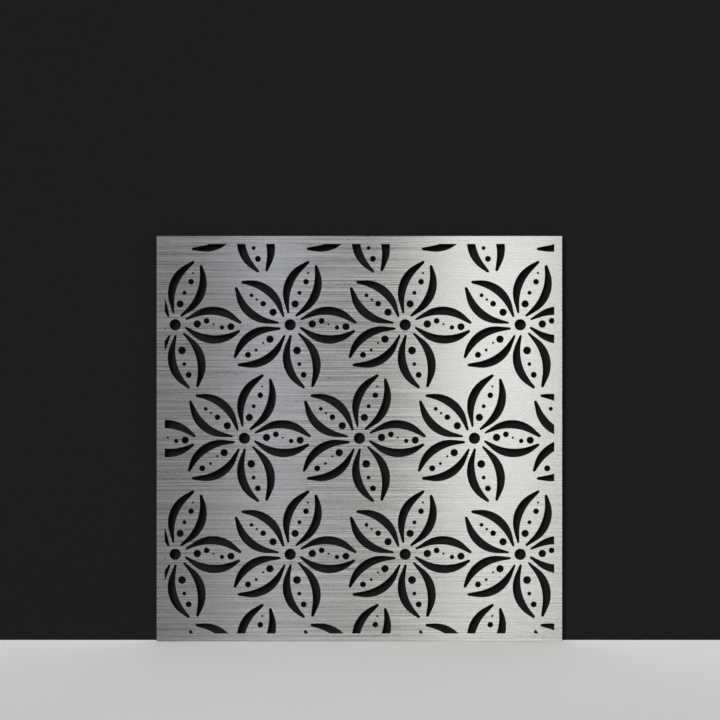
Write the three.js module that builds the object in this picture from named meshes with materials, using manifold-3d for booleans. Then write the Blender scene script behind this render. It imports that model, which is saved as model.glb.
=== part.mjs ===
// Laser-cut metal screen. A square sheet of brushed stainless steel is cut right through with
// rows of five-petalled flowers: each petal is a pair of facing crescents with a line of round
// holes between them. Behind the uncut border a mitred frame of steel angle keeps the sheet flat.
// Weld studs on the sheet's back pass through the frame, and a flange nut holds it on each one.
//
// Millimetres. +X is to the right of someone facing the screen, +Z is up and the face looks
// towards -Y. The origin is on the floor, under the middle of the screen.

import * as THREE from 'three';
import { mergeVertices } from 'three/addons/utils/BufferGeometryUtils.js';
import Module from 'manifold-3d';

const wasm = await Module();
wasm.setup();

const DEGREE = Math.PI / 180;

// ---- Driving dimensions -------------------------------------------------------------------

// The sheet.
const SHEET_WIDTH = 1200;
const SHEET_HEIGHT = 1200;
const SHEET_THICKNESS = 2;
const BORDER = 25;                    // uncut strip along every edge

// The repeat: level rows of flowers, with every second row moved sideways.
const FLOWER_PITCH = 340.5;           // from flower to flower along a row
const ROW_PAIR_PITCH = 679.5;         // from a row to the next one like it
const ODD_ROW_RISE = 336;             // from an even row up to an odd row
const ODD_ROW_SHIFT = -205;
const MIDDLE_FLOWER_RISE = 1.3;       // the middle flower, above the sheet's centre
const SMALLEST_CUT = 2;               // least area of a shape, after clipping, that is cut

// One flower. A petal's own axes are along it, from the flower's centre, and aside, to its left.
const PETAL_COUNT = 5;
const HUB_RADIUS = 16.8;
const PETAL_TILT = -3.3 * DEGREE;     // turn of the first petal from level
const PETAL_ASIDE = 5.45;             // by how much a petal's middle line misses the centre
const CRESCENT_START = 29;            // from the centre to the crescents' near tips
const CRESCENT_ASIDE = 12.2;          // from the petal's middle line to the crescents' tips

// A crescent has two round tips and two long edges. Each edge leaves the near tip in a straight
// line, turns on an arc and comes straight down to the far tip. Heights are from the tip line.
const LEFT_CRESCENT = {
  length: 167.1,
  nearTip: { radius: 3.1, height: 1 },
  farTip: { radius: 4.3, height: 0.4 },
  outerEdge: { rise: 38 * DEGREE, fall: 40.5 * DEGREE, radius: 95.1 },
  innerEdge: { rise: 22 * DEGREE, fall: 22.3 * DEGREE, radius: 143.4 },
};
const RIGHT_CRESCENT = {
  length: 164,
  nearTip: { radius: 3.6, height: 0.7 },
  farTip: { radius: 4.2, height: 1.8 },
  outerEdge: { rise: 38.5 * DEGREE, fall: 43 * DEGREE, radius: 96 },
  innerEdge: { rise: 22.8 * DEGREE, fall: 23.8 * DEGREE, radius: 147.9 },
};

// The round holes of each petal in turn: along it, aside of its middle line, and the radius.
const PETAL_HOLES = [
  [[65.2, 0.7, 11.1], [92.3, 11.5, 8.6], [113.1, 2.9, 3.2], [138.7, -5.4, 6.6], [165.2, -1.6, 10.5]],
  [[62.8, 3.4, 10.8], [98.2, 3.4, 6], [135.8, -3, 8.4], [162.1, 1.1, 3.3]],
  [[62.8, -2, 10.8], [101.5, -3.1, 8.5], [123.9, -0.5, 3.8], [143.9, -0.4, 5.8]],
  [[73.4, -2, 11], [96.4, -3.8, 3.3], [125.2, 3, 4.5], [153.2, 2, 8.9]],
  [[78.7, -5.2, 11.6], [119.4, -8.7, 5.8], [153.6, -4.4, 8.8]],
];

// The frame: equal angle with one leg flat on the sheet's back and the other at its edge.
const ANGLE_LEG = 20;
const ANGLE_WALL = 3;
const ANGLE_ROOT_RADIUS = 3;
const MITRE_GAP = 0.3;                // between the cut ends of two angles at a corner

// The weld studs, their nuts, and the screw holes in the frame's outer legs.
const STUD_DIAMETER = 5;
const STUD_LENGTH = 10.5;
const STUD_FOOT_DIAMETER = 6.5;
const STUD_FOOT_THICKNESS = 0.8;
const STUD_PITCH = 360;
const STUD_CORNER_DISTANCE = 60;      // the least from a corner to the last stud
const STUD_HOLE_CLEARANCE = 0.45;     // round the stud's foot, in the frame's leg
const THREAD_CLEARANCE = 0.3;         // between the stud and the nut's bore
const NUT_ACROSS_FLATS = 8;
const NUT_HEIGHT = 5;
const NUT_FLANGE_DIAMETER = 11.8;
const NUT_FLANGE_THICKNESS = 1.2;
const SCREW_HOLE_DIAMETER = 7;
const SCREW_HOLE_SPACING = 720;
const SCREW_HOLES_PER_SIDE = 2;

// Facets.
const HOLE_FACET = 9;                 // about the length of one side of a round hole
const HOLE_LEAST_SIDES = 5;
const OUTER_EDGE_STEPS = 4;
const INNER_EDGE_STEPS = 3;
const TIP_STEPS = 0;
const ROOT_STEPS = 3;
const STUD_SIDES = 6;
const FLANGE_SIDES = 8;
const SCREW_HOLE_SIDES = 8;

// ---- Finishes -----------------------------------------------------------------------------

const brushedSteel = () => new THREE.MeshStandardMaterial({
  color: 0xb4b4b2, roughness: 0.38, metalness: 1,
});
const millSteel = () => new THREE.MeshStandardMaterial({
  color: 0x9fa0a1, roughness: 0.5, metalness: 1,
});
const studSteel = () => new THREE.MeshStandardMaterial({
  color: 0xa9a6a0, roughness: 0.45, metalness: 1,
});
const nutSteel = () => new THREE.MeshStandardMaterial({
  color: 0xc6c7c8, roughness: 0.3, metalness: 1,
});

// ---- Points -------------------------------------------------------------------------------

function pointAt(centre, radius, angle) {
  const { x, y } = centre;
  return new THREE.Vector2(x + radius * Math.cos(angle), y + radius * Math.sin(angle));
}

// Points along an arc. With no steps it is only the point halfway round.
function arcPoints(centre, radius, from, to, steps) {
  if (steps === 0) return [pointAt(centre, radius, (from + to) / 2)];
  const angles = Array.from({ length: steps + 1 }, (_, i) => from + (to - from) * (i / steps));
  return angles.map((angle) => pointAt(centre, radius, angle));
}

// A polygon with the area of the circle that it stands for.
function circlePoints(centre, radius, sides) {
  const step = (2 * Math.PI) / sides;
  const corner = radius * Math.sqrt(step / Math.sin(step));
  return arcPoints(centre, corner, step / 2, 2 * Math.PI - step / 2, sides - 1);
}

// The arc of a long edge: it touches the line that rises from start and the one that falls to end.
function bowPoints(start, end, edge, steps) {
  const up = Math.tan(edge.rise);
  const down = Math.tan(edge.fall);
  const peakX = (end.y - start.y + start.x * up + end.x * down) / (up + down);
  const peakY = start.y + (peakX - start.x) * up;
  const touch = edge.radius * Math.tan((edge.rise + edge.fall) / 2);
  const centre = new THREE.Vector2(
    peakX - touch * Math.cos(edge.rise) + edge.radius * Math.sin(edge.rise),
    peakY - touch * Math.sin(edge.rise) - edge.radius * Math.cos(edge.rise),
  );
  return arcPoints(centre, edge.radius, Math.PI / 2 + edge.rise, Math.PI / 2 - edge.fall, steps);
}

// A crescent from (0, 0) along +X, bowed towards +Y.
function crescentPoints({ length, nearTip, farTip, outerEdge, innerEdge }) {
  const near = new THREE.Vector2(nearTip.radius, nearTip.height);
  const far = new THREE.Vector2(length - farTip.radius, farTip.height);
  const outerStart = Math.PI / 2 + outerEdge.rise;
  const outerEnd = Math.PI / 2 - outerEdge.fall;
  const innerStart = 1.5 * Math.PI + innerEdge.rise;
  const innerEnd = -Math.PI / 2 - innerEdge.fall;
  return [
    ...arcPoints(near, nearTip.radius, innerStart, outerStart, TIP_STEPS),
    ...bowPoints(
      pointAt(near, nearTip.radius, outerStart),
      pointAt(far, farTip.radius, outerEnd),
      outerEdge,
      OUTER_EDGE_STEPS,
    ),
    ...arcPoints(far, farTip.radius, outerEnd, innerEnd, TIP_STEPS),
    ...bowPoints(
      pointAt(near, nearTip.radius, innerStart),
      pointAt(far, farTip.radius, innerEnd),
      innerEdge,
      INNER_EDGE_STEPS,
    ).reverse(),
  ];
}

// ---- Solids -------------------------------------------------------------------------------

// A closed geometry as a solid that can be joined and cut.
function solidOf(geometry) {
  geometry.deleteAttribute('normal');
  geometry.deleteAttribute('uv');
  const merged = mergeVertices(geometry);
  return new wasm.Manifold(new wasm.Mesh({
    numProp: 3,
    vertProperties: merged.attributes.position.array,
    triVerts: Uint32Array.from(merged.index.array),
  }));
}

function geometryOf(solid) {
  const { vertProperties, triVerts } = solid.getMesh();
  const geometry = new THREE.BufferGeometry();
  geometry.setAttribute('position', new THREE.BufferAttribute(vertProperties, 3));
  geometry.setIndex(new THREE.BufferAttribute(triVerts, 1));
  return geometry;
}

// A plate of the given outline between two heights along Z.
function plate(points, low, high) {
  const shape = new THREE.Shape(points);
  const geometry = new THREE.ExtrudeGeometry(shape, { depth: high - low, bevelEnabled: false });
  return geometry.translate(0, 0, low);
}

function rectanglePoints(width, height) {
  return [
    new THREE.Vector2(-width / 2, -height / 2),
    new THREE.Vector2(width / 2, -height / 2),
    new THREE.Vector2(width / 2, height / 2),
    new THREE.Vector2(-width / 2, height / 2),
  ];
}

// A prism with the area of a cylinder, along Z between two heights.
function roundBar(diameter, low, high, sides) {
  return plate(circlePoints(new THREE.Vector2(), diameter / 2, sides), low, high);
}

// ---- The sheet ----------------------------------------------------------------------------

// The outlines of everything that is cut for one flower, round its own centre.
function flowerOutlines() {
  const centre = new THREE.Vector2();
  const sidesOf = (radius) => Math.max(
    HOLE_LEAST_SIDES,
    Math.round((2 * Math.PI * radius) / HOLE_FACET),
  );
  const outlines = [circlePoints(centre, HUB_RADIUS, sidesOf(HUB_RADIUS))];
  for (let petal = 0; petal < PETAL_COUNT; petal += 1) {
    const turn = PETAL_TILT + (petal * 2 * Math.PI) / PETAL_COUNT;
    const inFlower = (along, aside) => new THREE.Vector2(along, PETAL_ASIDE + aside)
      .rotateAround(centre, turn);
    const left = crescentPoints(LEFT_CRESCENT);
    const right = crescentPoints(RIGHT_CRESCENT);
    outlines.push(left.map((p) => inFlower(CRESCENT_START + p.x, CRESCENT_ASIDE + p.y)));
    outlines.push(right.map((p) => inFlower(CRESCENT_START + p.x, -CRESCENT_ASIDE - p.y)));
    for (const [along, aside, radius] of PETAL_HOLES[petal % PETAL_HOLES.length]) {
      outlines.push(circlePoints(inFlower(along, aside), radius, sidesOf(radius)));
    }
  }
  return outlines;
}

// The centres of all the flowers that can reach the sheet.
function flowerCentres() {
  const rows = Math.ceil(SHEET_HEIGHT / ROW_PAIR_PITCH);
  const columns = Math.ceil(SHEET_WIDTH / FLOWER_PITCH);
  const centres = [];
  for (let row = -rows; row <= rows; row += 1) {
    for (let column = -columns; column <= columns; column += 1) {
      const x = column * FLOWER_PITCH;
      const y = row * ROW_PAIR_PITCH + MIDDLE_FLOWER_RISE;
      centres.push(new THREE.Vector2(x, y));
      centres.push(new THREE.Vector2(x + ODD_ROW_SHIFT, y + ODD_ROW_RISE));
    }
  }
  return centres;
}

// The sheet lies on Z = 0 with its face up, and the cuts stop at the border.
function sheetGeometry() {
  const fieldWidth = SHEET_WIDTH - 2 * BORDER;
  const fieldHeight = SHEET_HEIGHT - 2 * BORDER;
  const through = [-SHEET_THICKNESS, 2 * SHEET_THICKNESS];
  const field = solidOf(plate(rectanglePoints(fieldWidth, fieldHeight), ...through));
  const fieldBox = new THREE.Box2().setFromPoints(rectanglePoints(fieldWidth, fieldHeight));
  const cutDepth = through[1] - through[0];
  let sheet = solidOf(plate(rectanglePoints(SHEET_WIDTH, SHEET_HEIGHT), 0, SHEET_THICKNESS));
  const outlines = flowerOutlines();
  for (const centre of flowerCentres()) {
    for (const outline of outlines) {
      const moved = outline.map((point) => point.clone().add(centre));
      const box = new THREE.Box2().setFromPoints(moved);
      if (box.intersectsBox(fieldBox)) {
        const cut = solidOf(plate(moved, ...through)).intersect(field);
        if (cut.volume() > SMALLEST_CUT * cutDepth) {
          sheet = sheet.subtract(cut);
        }
      }
    }
  }
  return geometryOf(sheet);
}

// ---- The frame ----------------------------------------------------------------------------

// One side of the frame lies along X, with the sheet's edge on Y = 0, the middle of the sheet
// towards +Y and the sheet's back on Z = 0. Everything behind the sheet is below Z = 0.

// Middle of an angle leg's flat, from its heel, where studs and screws go.
const LEG_MIDDLE = (ANGLE_WALL + ANGLE_ROOT_RADIUS + ANGLE_LEG) / 2;

function evenlySpaced(count, pitch) {
  return Array.from({ length: count }, (_, i) => (i - (count - 1) / 2) * pitch);
}

function studPlaces(sideLength) {
  const room = sideLength - 2 * STUD_CORNER_DISTANCE;
  return evenlySpaced(Math.floor(room / STUD_PITCH) + 1, STUD_PITCH);
}

// The angle's section: X across the leg that lies on the sheet, Y along the one at its edge.
function anglePoints() {
  const root = new THREE.Vector2(ANGLE_WALL + ANGLE_ROOT_RADIUS, -ANGLE_WALL - ANGLE_ROOT_RADIUS);
  return [
    new THREE.Vector2(0, 0),
    new THREE.Vector2(0, -ANGLE_LEG),
    new THREE.Vector2(ANGLE_WALL, -ANGLE_LEG),
    ...arcPoints(root, ANGLE_ROOT_RADIUS, Math.PI, Math.PI / 2, ROOT_STEPS),
    new THREE.Vector2(ANGLE_LEG, -ANGLE_WALL),
    new THREE.Vector2(ANGLE_LEG, 0),
  ];
}

// A length of angle, cut at 45 degrees at both ends and drilled for studs and screws.
function angleGeometry(sideLength) {
  const sectionToSide = new THREE.Matrix4().makeBasis(
    new THREE.Vector3(0, 1, 0),
    new THREE.Vector3(0, 0, 1),
    new THREE.Vector3(1, 0, 0),
  );
  const bar = plate(anglePoints(), -sideLength / 2, sideLength / 2).applyMatrix4(sectionToSide);
  const end = sideLength / 2 - MITRE_GAP / Math.SQRT2;
  const mitre = plate([
    new THREE.Vector2(-end, 0),
    new THREE.Vector2(end, 0),
    new THREE.Vector2(end - ANGLE_LEG, ANGLE_LEG),
    new THREE.Vector2(-end + ANGLE_LEG, ANGLE_LEG),
  ], -ANGLE_LEG, 0);
  let angle = solidOf(bar).intersect(solidOf(mitre));
  const studHole = STUD_FOOT_DIAMETER + 2 * STUD_HOLE_CLEARANCE;
  for (const x of studPlaces(sideLength)) {
    const hole = roundBar(studHole, -2 * ANGLE_WALL, ANGLE_WALL, STUD_SIDES);
    angle = angle.subtract(solidOf(hole.translate(x, LEG_MIDDLE, 0)));
  }
  for (const x of evenlySpaced(SCREW_HOLES_PER_SIDE, SCREW_HOLE_SPACING)) {
    const hole = roundBar(SCREW_HOLE_DIAMETER, -2 * ANGLE_WALL, ANGLE_WALL, SCREW_HOLE_SIDES);
    hole.rotateX(Math.PI / 2).translate(x, 0, -LEG_MIDDLE);
    angle = angle.subtract(solidOf(hole));
  }
  return geometryOf(angle);
}

// ---- The fasteners ------------------------------------------------------------------------

// A weld stud: its foot is on Z = 0, the sheet's back, and its shank points down from there.
function studGeometry() {
  const foot = roundBar(STUD_FOOT_DIAMETER, -STUD_FOOT_THICKNESS, 0, STUD_SIDES);
  const shank = roundBar(STUD_DIAMETER, -STUD_LENGTH, 0, STUD_SIDES);
  return geometryOf(solidOf(foot).add(solidOf(shank)));
}

// A flange nut: its flange seats on Z = 0 and its hexagon points down from there.
function nutGeometry() {
  const hexagonCorner = NUT_ACROSS_FLATS / Math.sqrt(3);
  const centre = new THREE.Vector2();
  const hexagon = arcPoints(centre, hexagonCorner, 0, (5 / 3) * Math.PI, 5);
  const flange = roundBar(NUT_FLANGE_DIAMETER, -NUT_FLANGE_THICKNESS, 0, FLANGE_SIDES);
  const boreDiameter = STUD_DIAMETER + 2 * THREAD_CLEARANCE;
  const bore = roundBar(boreDiameter, -2 * NUT_HEIGHT, NUT_HEIGHT, STUD_SIDES);
  const body = solidOf(flange).add(solidOf(plate(hexagon, -NUT_HEIGHT, 0)));
  return geometryOf(body.subtract(solidOf(bore)));
}

// ---- Assembly -----------------------------------------------------------------------------

function piece(name, geometry, material) {
  const mesh = new THREE.Mesh(geometry, material);
  mesh.name = name;
  return mesh;
}

// One side of the frame with its studs and nuts.
function frameSide(name, sideLength) {
  const side = new THREE.Group();
  side.add(piece(`frame_${name}`, angleGeometry(sideLength), millSteel()));
  studPlaces(sideLength).forEach((x, i) => {
    const stud = piece(`stud_${name}_${i + 1}`, studGeometry(), studSteel());
    stud.position.set(x, LEG_MIDDLE, 0);
    const nut = piece(`nut_${name}_${i + 1}`, nutGeometry(), nutSteel());
    nut.position.set(x, LEG_MIDDLE, -ANGLE_WALL);
    side.add(stud, nut);
  });
  return side;
}

const screen = new THREE.Group();
screen.name = 'laser_cut_metal_screen';

// The screen is put together lying on its back, round the middle of the sheet's back face.
const layout = new THREE.Group();
layout.add(piece('screen_panel', sheetGeometry(), brushedSteel()));

const SIDES = [
  ['bottom', SHEET_WIDTH, 0, -SHEET_HEIGHT / 2],
  ['right', SHEET_HEIGHT, SHEET_WIDTH / 2, 0],
  ['top', SHEET_WIDTH, 0, SHEET_HEIGHT / 2],
  ['left', SHEET_HEIGHT, -SHEET_WIDTH / 2, 0],
];
SIDES.forEach(([name, sideLength, x, y], quarterTurns) => {
  const side = frameSide(name, sideLength);
  side.position.set(x, y, 0);
  side.rotation.z = (quarterTurns * Math.PI) / 2;
  layout.add(side);
});

// Then it is stood up on its bottom edge, with its depth halved by the XZ plane.
layout.rotation.x = Math.PI / 2;
layout.position.set(0, (SHEET_THICKNESS - ANGLE_LEG) / 2, SHEET_HEIGHT / 2);
screen.add(layout);

export default screen;
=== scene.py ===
# Laser-cut metal screen: its looks. The flat sheet of brushed stainless steel with its flower
# pattern is cut again here with smooth curves, and so are the frame of mitred steel angle behind
# its border, the corner welds, the weld studs and the flange nuts.
#
# Metres, except that the pattern is drawn in millimetres. +X is to the right of someone facing
# the screen, +Z is up and the face looks towards -Y.

import math

import bpy
from mathutils import Matrix, Vector
from mathutils.geometry import delaunay_2d_cdt


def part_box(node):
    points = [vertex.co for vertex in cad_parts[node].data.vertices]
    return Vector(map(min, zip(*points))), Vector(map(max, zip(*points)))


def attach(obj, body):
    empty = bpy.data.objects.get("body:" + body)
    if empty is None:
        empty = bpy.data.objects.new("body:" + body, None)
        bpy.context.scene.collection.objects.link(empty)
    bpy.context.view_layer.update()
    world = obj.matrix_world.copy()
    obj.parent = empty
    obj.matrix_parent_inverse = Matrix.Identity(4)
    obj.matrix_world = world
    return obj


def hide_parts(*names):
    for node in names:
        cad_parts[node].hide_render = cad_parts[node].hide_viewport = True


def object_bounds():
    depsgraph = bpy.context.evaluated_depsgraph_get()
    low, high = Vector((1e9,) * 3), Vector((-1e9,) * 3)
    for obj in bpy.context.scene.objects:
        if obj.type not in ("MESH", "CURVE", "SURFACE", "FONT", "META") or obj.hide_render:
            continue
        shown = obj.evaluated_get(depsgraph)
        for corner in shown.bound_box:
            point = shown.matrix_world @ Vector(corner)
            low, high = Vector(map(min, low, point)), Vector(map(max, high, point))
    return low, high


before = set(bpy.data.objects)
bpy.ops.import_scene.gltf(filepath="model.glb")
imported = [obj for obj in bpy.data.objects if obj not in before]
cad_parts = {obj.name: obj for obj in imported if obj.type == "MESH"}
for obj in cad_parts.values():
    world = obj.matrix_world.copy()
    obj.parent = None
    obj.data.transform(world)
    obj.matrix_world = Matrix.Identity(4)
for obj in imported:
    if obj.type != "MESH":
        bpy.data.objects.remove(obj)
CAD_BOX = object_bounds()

MM = 0.001
DEGREE = math.pi / 180


def add_object(name, data):
    made = bpy.data.objects.new(name, data)
    bpy.context.scene.collection.objects.link(made)
    return made


# ---- The sheet and its place, from the CAD part --------------------------------------------

SHEET_LOW, SHEET_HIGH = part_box("screen_panel")
SHEET_WIDTH = (SHEET_HIGH[0] - SHEET_LOW[0]) / MM
SHEET_HEIGHT = (SHEET_HIGH[2] - SHEET_LOW[2]) / MM
FACE = SHEET_LOW[1]                    # the sheet's brushed face, on Y
BACK = SHEET_HIGH[1]                   # its back, where the frame lies
SHEET_CENTRE = Vector(((SHEET_LOW[0] + SHEET_HIGH[0]) / 2, BACK, (SHEET_LOW[2] + SHEET_HIGH[2]) / 2))

# ---- The camera ----------------------------------------------------------------------------

SENSOR_WIDTH = 36.0                    # millimetres
PICTURE_WIDTH = 2.1312                 # what the picture's width takes in at the sheet's face
CAMERA_DISTANCE = 5.0
CAMERA_HEIGHT = 0.8331
CAMERA_ASIDE = 0.0017


def add_camera():
    data = bpy.data.cameras.new("camera")
    data.sensor_width = SENSOR_WIDTH
    data.lens = SENSOR_WIDTH * CAMERA_DISTANCE / PICTURE_WIDTH
    camera = add_object("camera", data)
    camera.location = (CAMERA_ASIDE, FACE - CAMERA_DISTANCE, CAMERA_HEIGHT)
    camera.rotation_euler = (math.pi / 2, 0, 0)
    bpy.context.scene.camera = camera


add_camera()

# ---- The pattern, in millimetres -----------------------------------------------------------

BORDER = 23.2                          # uncut strip along every edge

# The repeat: level rows of flowers, with every second row moved sideways.
FLOWER_PITCH = 340.5
ROW_PAIR_PITCH = 679.5
ODD_ROW_RISE = 336
ODD_ROW_SHIFT = -205
MIDDLE_FLOWER_RISE = 1.3
SMALLEST_CUT = 2                       # square millimetres

# One flower. A petal's own axes are along it, from the flower's centre, and aside, to its left.
PETAL_COUNT = 5
HUB_RADIUS = 16.8
PETAL_TILT = -3.3 * DEGREE
PETAL_ASIDE = 5.45
CRESCENT_START = 29
CRESCENT_ASIDE = 12.2

# A crescent: its length, each tip's (radius, height) and each long edge's (rise, fall, radius).
LEFT_CRESCENT = {
    "length": 167.1,
    "near_tip": (3.1, 1),
    "far_tip": (4.3, 0.4),
    "outer_edge": (38 * DEGREE, 40.5 * DEGREE, 95.1),
    "inner_edge": (22 * DEGREE, 22.3 * DEGREE, 143.4),
}
RIGHT_CRESCENT = {
    "length": 164,
    "near_tip": (3.6, 0.7),
    "far_tip": (4.2, 1.8),
    "outer_edge": (38.5 * DEGREE, 43 * DEGREE, 96),
    "inner_edge": (22.8 * DEGREE, 23.8 * DEGREE, 147.9),
}

# The round holes of each petal in turn: along it, aside of its middle line, and the radius.
PETAL_HOLES = [
    [(65.2, 0.7, 11.1), (92.3, 11.5, 8.6), (113.1, 2.9, 3.2), (138.7, -5.4, 6.6), (165.2, -1.6, 10.5)],
    [(62.8, 3.4, 10.8), (98.2, 3.4, 6), (135.8, -3, 8.4), (162.1, 1.1, 3.3)],
    [(62.8, -2, 10.8), (101.5, -3.1, 8.5), (123.9, -0.5, 3.8), (143.9, -0.4, 5.8)],
    [(73.4, -2, 11), (96.4, -3.8, 3.3), (125.2, 3, 4.5), (153.2, 2, 8.9)],
    [(78.7, -5.2, 11.6), (119.4, -8.7, 5.8), (153.6, -4.4, 8.8)],
]

# Steps of the curves.
TIP_STEPS = 6
OUTER_EDGE_STEPS = 22
INNER_EDGE_STEPS = 16
HOLE_FACET = 1.4                       # about the length of one side of a round hole
HOLE_LEAST_SIDES = 20
NEARNESS = 1e-3                        # points closer than this are one point
ALL_TRIANGLES = 0                      # what the triangulation gives: all of its triangles

# How far the brushing rounds off the cut edges, on the face and on the back.
FACE_EDGE_BREAK = 0.15
BACK_EDGE_BREAK = 0.1
LONGEST_MITRE = 2.5                    # of an edge break at a sharp corner, in edge breaks

# The sheet's layers of points, each (depth, edge break): its face, the two ends of the cut wall
# and its back.
SHEET_LAYERS = [
    (FACE, FACE_EDGE_BREAK),
    (FACE + FACE_EDGE_BREAK * MM, 0),
    (BACK - BACK_EDGE_BREAK * MM, 0),
    (BACK, BACK_EDGE_BREAK),
]
FACE_FINISH, WALL_FINISH, BACK_FINISH = range(3)

# ---- The frame, in metres ------------------------------------------------------------------

SIDES = ["bottom", "right", "top", "left"]
ANGLE_LEG = 20 * MM
ANGLE_WALL = 3 * MM
ANGLE_ROOT_RADIUS = 3 * MM
ANGLE_CORNER_RADIUS = 0.4 * MM         # at the heel and the toes' outer corners
ANGLE_TOE_RADIUS = 1.2 * MM            # at the toes' inner corners
CORNER_STEPS = 4
ROOT_STEPS = 8
MITRE_GAP = 0.3 * MM                   # filled by the corner weld
LEG_MIDDLE = (ANGLE_WALL + ANGLE_ROOT_RADIUS + ANGLE_LEG) / 2
STUD_HOLE_RADIUS = 3.7 * MM
SCREW_HOLE_RADIUS = 3.5 * MM
SCREW_HOLE_SPACING = 720 * MM
HOLE_CHAMFER = 0.3 * MM
FRAME_HOLE_SIDES = 48

# The corner welds: ground flush outside, and left as a rippled bead inside.
BEAD_HALF_WIDTH = 2.2 * MM
BEAD_HEIGHT = 0.8 * MM                 # on the leg that lies on the sheet
BEAD_CORNER_HEIGHT = 2.4 * MM          # in the corner between the outer legs
BEAD_RIPPLE = 1.3 * MM                 # from one ripple to the next
BEAD_RIPPLE_DEPTH = 0.09               # share of the bead's size
BEAD_RIPPLE_SWEEP = 0.45               # how far a ripple's sides trail, in ripples
BEAD_END = 1.6 * MM                    # length over which the bead's ends round off
BEAD_END_SIZE = 0.02                   # share of the bead's size that is left at its very ends
BEAD_SHORT_OF_TOE = 0.6 * MM
BEAD_STEP = 0.22 * MM
BEAD_SIDES = 18

# ---- The studs and nuts, in metres ---------------------------------------------------------

STUD_LENGTH = 10.5 * MM
STUD_FOOT_RADIUS = 3.25 * MM
STUD_FOOT_THICKNESS = 0.8 * MM
STUD_FOOT_BREAK = 0.15 * MM
STUD_TIP_CHAMFER = 0.7 * MM
THREAD_OUTER_RADIUS = 2.48 * MM
THREAD_ROOT_RADIUS = 2.02 * MM
THREAD_PITCH = 0.8 * MM
THREAD_PLAY = 0.04 * MM                # between the stud's thread and the nut's
THREAD_ROOT_SHARE = 0.22               # of the pitch that the flat root takes
THREAD_CREST_SHARE = 0.12
THREAD_STEPS = 10                      # along the axis, for each turn
ROUND_SIDES = 48
NUT_HEIGHT = 5 * MM
NUT_HALF_FLATS = 4 * MM
NUT_FLANGE_RADIUS = 5.9 * MM
NUT_FLANGE_RIM = 0.9 * MM              # height of the flange's upright rim
NUT_FLANGE_RIM_BREAK = 0.2 * MM
NUT_SKIRT_TOP = 1.75 * MM              # where the sloping flange meets the hexagon
NUT_TOP_RADIUS = 3.8 * MM              # of the flat that the hexagon's chamfer leaves
NUT_CHAMFER_SLOPE = 30 * DEGREE
NUT_CHAMFER_STEPS = 8
NUT_COUNTERSINK = 0.5 * MM
GOLDEN_TURN = 137.5 * DEGREE           # turn from one nut to the next, so that none match

# ---- Meshes --------------------------------------------------------------------------------

GRAIN_MAP = "grain"                    # the UV map in metres: across the grain, and along it
SHARP_ANGLE = 30 * DEGREE


def bare_mesh(name, points, faces):
    mesh = bpy.data.meshes.new(name)
    mesh.from_pydata(points, [], faces)
    return mesh


def lay_grain(mesh, grain):
    """Fills the grain map.

    grain holds one (across, along) for each corner of each face, in order, or is a function of
    the corner's point.
    """
    corners = mesh.uv_layers.new(name=GRAIN_MAP).data
    for i, loop in enumerate(mesh.loops):
        corners[i].uv = grain(mesh.vertices[loop.vertex_index].co) if callable(grain) else grain[i]


def mesh_from(name, points, faces, grain, finishes, finish_of_face=None):
    """A mesh with its grain, its finishes and smooth faces."""
    mesh = bare_mesh(name, points, faces)
    lay_grain(mesh, grain)
    for finish in finishes:
        mesh.materials.append(finish)
    if finish_of_face:
        mesh.polygons.foreach_set("material_index", finish_of_face)
    smooth(mesh)
    return mesh


def smooth(mesh):
    """Makes the faces smooth, but for sharp edges where they meet past SHARP_ANGLE."""
    mesh.polygons.foreach_set("use_smooth", [True] * len(mesh.polygons))
    mesh.set_sharp_from_angle(angle=SHARP_ANGLE)
    mesh.update()


def add_piece(name, mesh, nodes=(), place=Matrix()):
    """Puts a piece in the scene: it rides on the one body and stands for the given CAD nodes."""
    piece = add_object(name, mesh)
    piece.matrix_world = place
    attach(piece, "root")
    if nodes:
        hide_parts(*nodes)


def ring_faces(ring_count, sides, around=False):
    """Quads between rings of points, each facing out if the rings turn left as they go up."""
    faces = []
    for ring in range(ring_count if around else ring_count - 1):
        low = ring * sides
        high = (ring + 1) % ring_count * sides
        for i in range(sides):
            j = (i + 1) % sides
            faces.append((low + i, low + j, high + j, high + i))
    return faces


def closed_rings(rings):
    """Points and faces of rings of points that are capped at both ends."""
    sides = len(rings[0])
    points = [point for ring in rings for point in ring]
    faces = ring_faces(len(rings), sides)
    faces.append(tuple(reversed(range(sides))))
    faces.append(tuple(range(len(points) - sides, len(points))))
    return points, faces


def joined(*parts):
    """The (points, faces) of several parts as one."""
    points, faces = [], []
    for more_points, more_faces in parts:
        first = len(points)
        points += more_points
        faces += [tuple(first + i for i in face) for face in more_faces]
    return points, faces


# ---- Outlines ------------------------------------------------------------------------------


def point_at(centre, radius, angle):
    return centre + Vector((radius * math.cos(angle), radius * math.sin(angle)))


def arc_points(centre, radius, start, end, steps):
    return [point_at(centre, radius, start + (end - start) * i / steps) for i in range(steps + 1)]


def circle_points(centre, radius, sides):
    return arc_points(centre, radius, 0, 2 * math.pi, sides)[:-1]


def hole_points(centre, radius):
    sides = max(HOLE_LEAST_SIDES, round(2 * math.pi * radius / HOLE_FACET))
    return circle_points(centre, radius, sides)


def rounded(corners):
    """An outline with its corners, each (x, y, radius, steps), rounded off."""
    outline = []
    for i, (x, y, radius, steps) in enumerate(corners):
        here = Vector((x, y))
        to_last = (Vector(corners[i - 1][:2]) - here).normalized()
        to_next = (Vector(corners[(i + 1) % len(corners)][:2]) - here).normalized()
        half = to_last.angle(to_next) / 2
        middle = here + (to_last + to_next).normalized() * radius / math.sin(half)
        start = (here + to_last * radius / math.tan(half)) - middle
        turn = start.angle_signed((here + to_next * radius / math.tan(half)) - middle)
        first = math.atan2(start.y, start.x)
        outline += arc_points(middle, radius, first, first - turn, steps)
    return outline


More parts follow.
